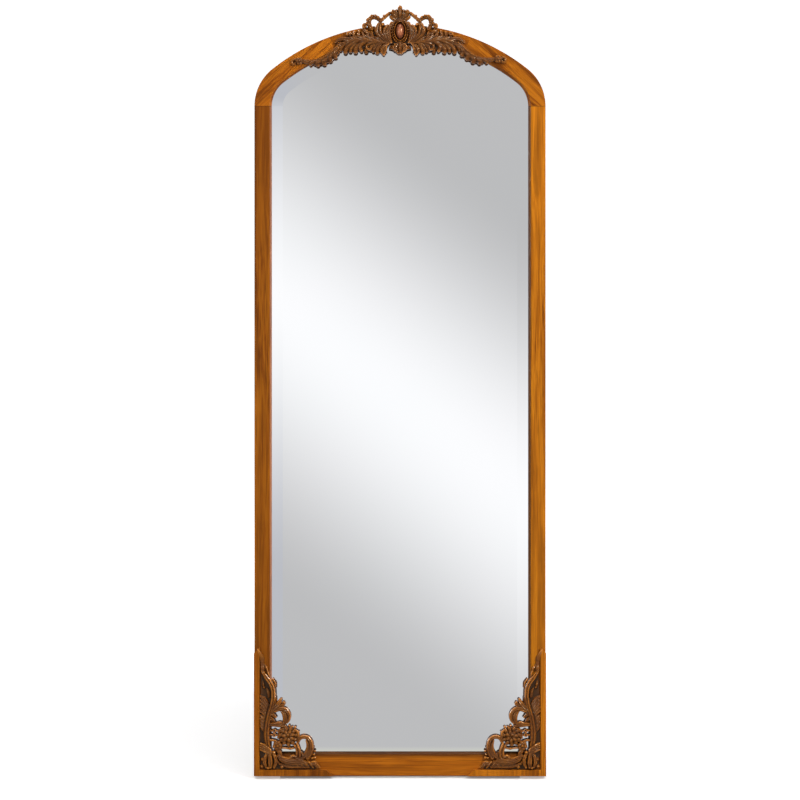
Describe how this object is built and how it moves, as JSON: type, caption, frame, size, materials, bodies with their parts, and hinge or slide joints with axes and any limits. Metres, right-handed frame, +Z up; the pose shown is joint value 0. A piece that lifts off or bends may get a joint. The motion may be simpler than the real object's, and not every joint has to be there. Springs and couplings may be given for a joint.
{
  "type": "floor mirror",
  "caption": "Arched full-length wooden floor mirror with carved crest and corners, standing on a rear easel strut that folds flat.",
  "frame": {"origin": "middle of the level underside of the rubber strip below the bottom rail, on the floor", "axes": "+Z up, +X to the viewer's right, +Y towards the back; the mirror faces -Y and leans back 8 degrees"},
  "size_m": [0.682, 0.4192, 1.7914],
  "materials": {
    "frame_wood": "satin varnish, honey brown",
    "carved_wood": "glossy varnish, red brown with dark recesses",
    "tenon_wood": "bare beech",
    "strut_wood": "satin varnish",
    "mirror_glass": "silvered, bevelled",
    "felt": "wool felt",
    "foam": "closed-cell foam sheet",
    "back_board": "brown-faced hardboard",
    "rubber": "matt",
    "brass": "satin",
    "hinge_pin_brass": "satin",
    "steel_screws": "zinc plated",
    "brass_screws": "satin"
  },
  "bodies": {
    "frame": {"left_stile": "frame_wood", "right_stile": "frame_wood", "bottom_rail": "frame_wood", "left_haunch": "frame_wood", "right_haunch": "frame_wood", "crown_segment": "frame_wood", "left_corner_border": "frame_wood", "right_corner_border": "frame_wood", "left_corner_carving": "carved_wood", "right_corner_carving": "carved_wood", "crest_carving": "carved_wood", "left_crest_sprig": "carved_wood", "right_crest_sprig": "carved_wood", "joint_tenons": "tenon_wood", "hinge_batten": "strut_wood", "mirror_glass": "mirror_glass", "glazing_felt": "felt", "backing_foam": "foam", "back_panel": "back_board", "setting_blocks": "rubber", "base_strip": "rubber", "left_hinge_batten_leaf": "brass", "right_hinge_batten_leaf": "brass", "left_hinge_pin": "hinge_pin_brass", "right_hinge_pin": "hinge_pin_brass", "back_panel_screws": "steel_screws", "crest_screws": "steel_screws", "batten_screws": "steel_screws", "batten_leaf_screws": "brass_screws"},
    "strut": {"left_strut_leg": "strut_wood", "right_strut_leg": "strut_wood", "strut_top_rail": "strut_wood", "strut_middle_rail": "strut_wood", "strut_foot_rail": "strut_wood", "strut_tenons": "tenon_wood", "left_strut_foot": "rubber", "right_strut_foot": "rubber", "left_hinge_strut_leaf": "brass", "right_hinge_strut_leaf": "brass", "strut_leaf_screws": "brass_screws"}
  },
  "joints": [
    {"name": "strut_hinge", "type": "hinge", "parent": "frame", "child": "strut", "pos_m": [0, 0.21229, 1.24172], "axis": [1, 0, 0], "range_deg": [-15, 0]}
  ]
}
